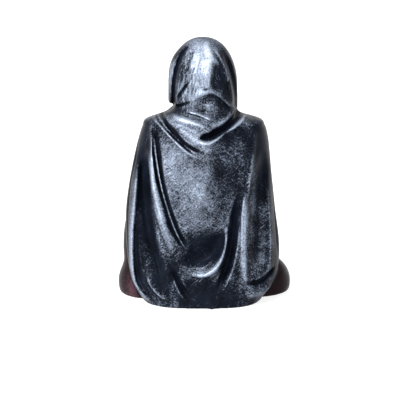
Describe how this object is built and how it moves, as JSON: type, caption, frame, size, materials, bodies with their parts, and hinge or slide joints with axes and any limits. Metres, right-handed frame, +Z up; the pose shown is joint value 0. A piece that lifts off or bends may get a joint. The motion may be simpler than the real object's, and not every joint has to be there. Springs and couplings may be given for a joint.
{
  "type": "hooded resin figurine",
  "caption": "Small cast resin figurine of a hooded, cross-legged figure in a long draped mantle, for standing on a shelf.",
  "frame": {"origin": "middle of the figurine's bounding box, on the flat underside", "axes": "+Z up, -Y the way the figure faces, +X to the figure's left hand"},
  "size_m": [0.082, 0.067, 0.12],
  "materials": {
    "figurine": "black polyresin with a pewter dry brush, satin to semi-gloss; the under-robe is tinted dark burgundy"
  },
  "bodies": {
    "root": {"figurine": "figurine"}
  },
  "joints": []
}
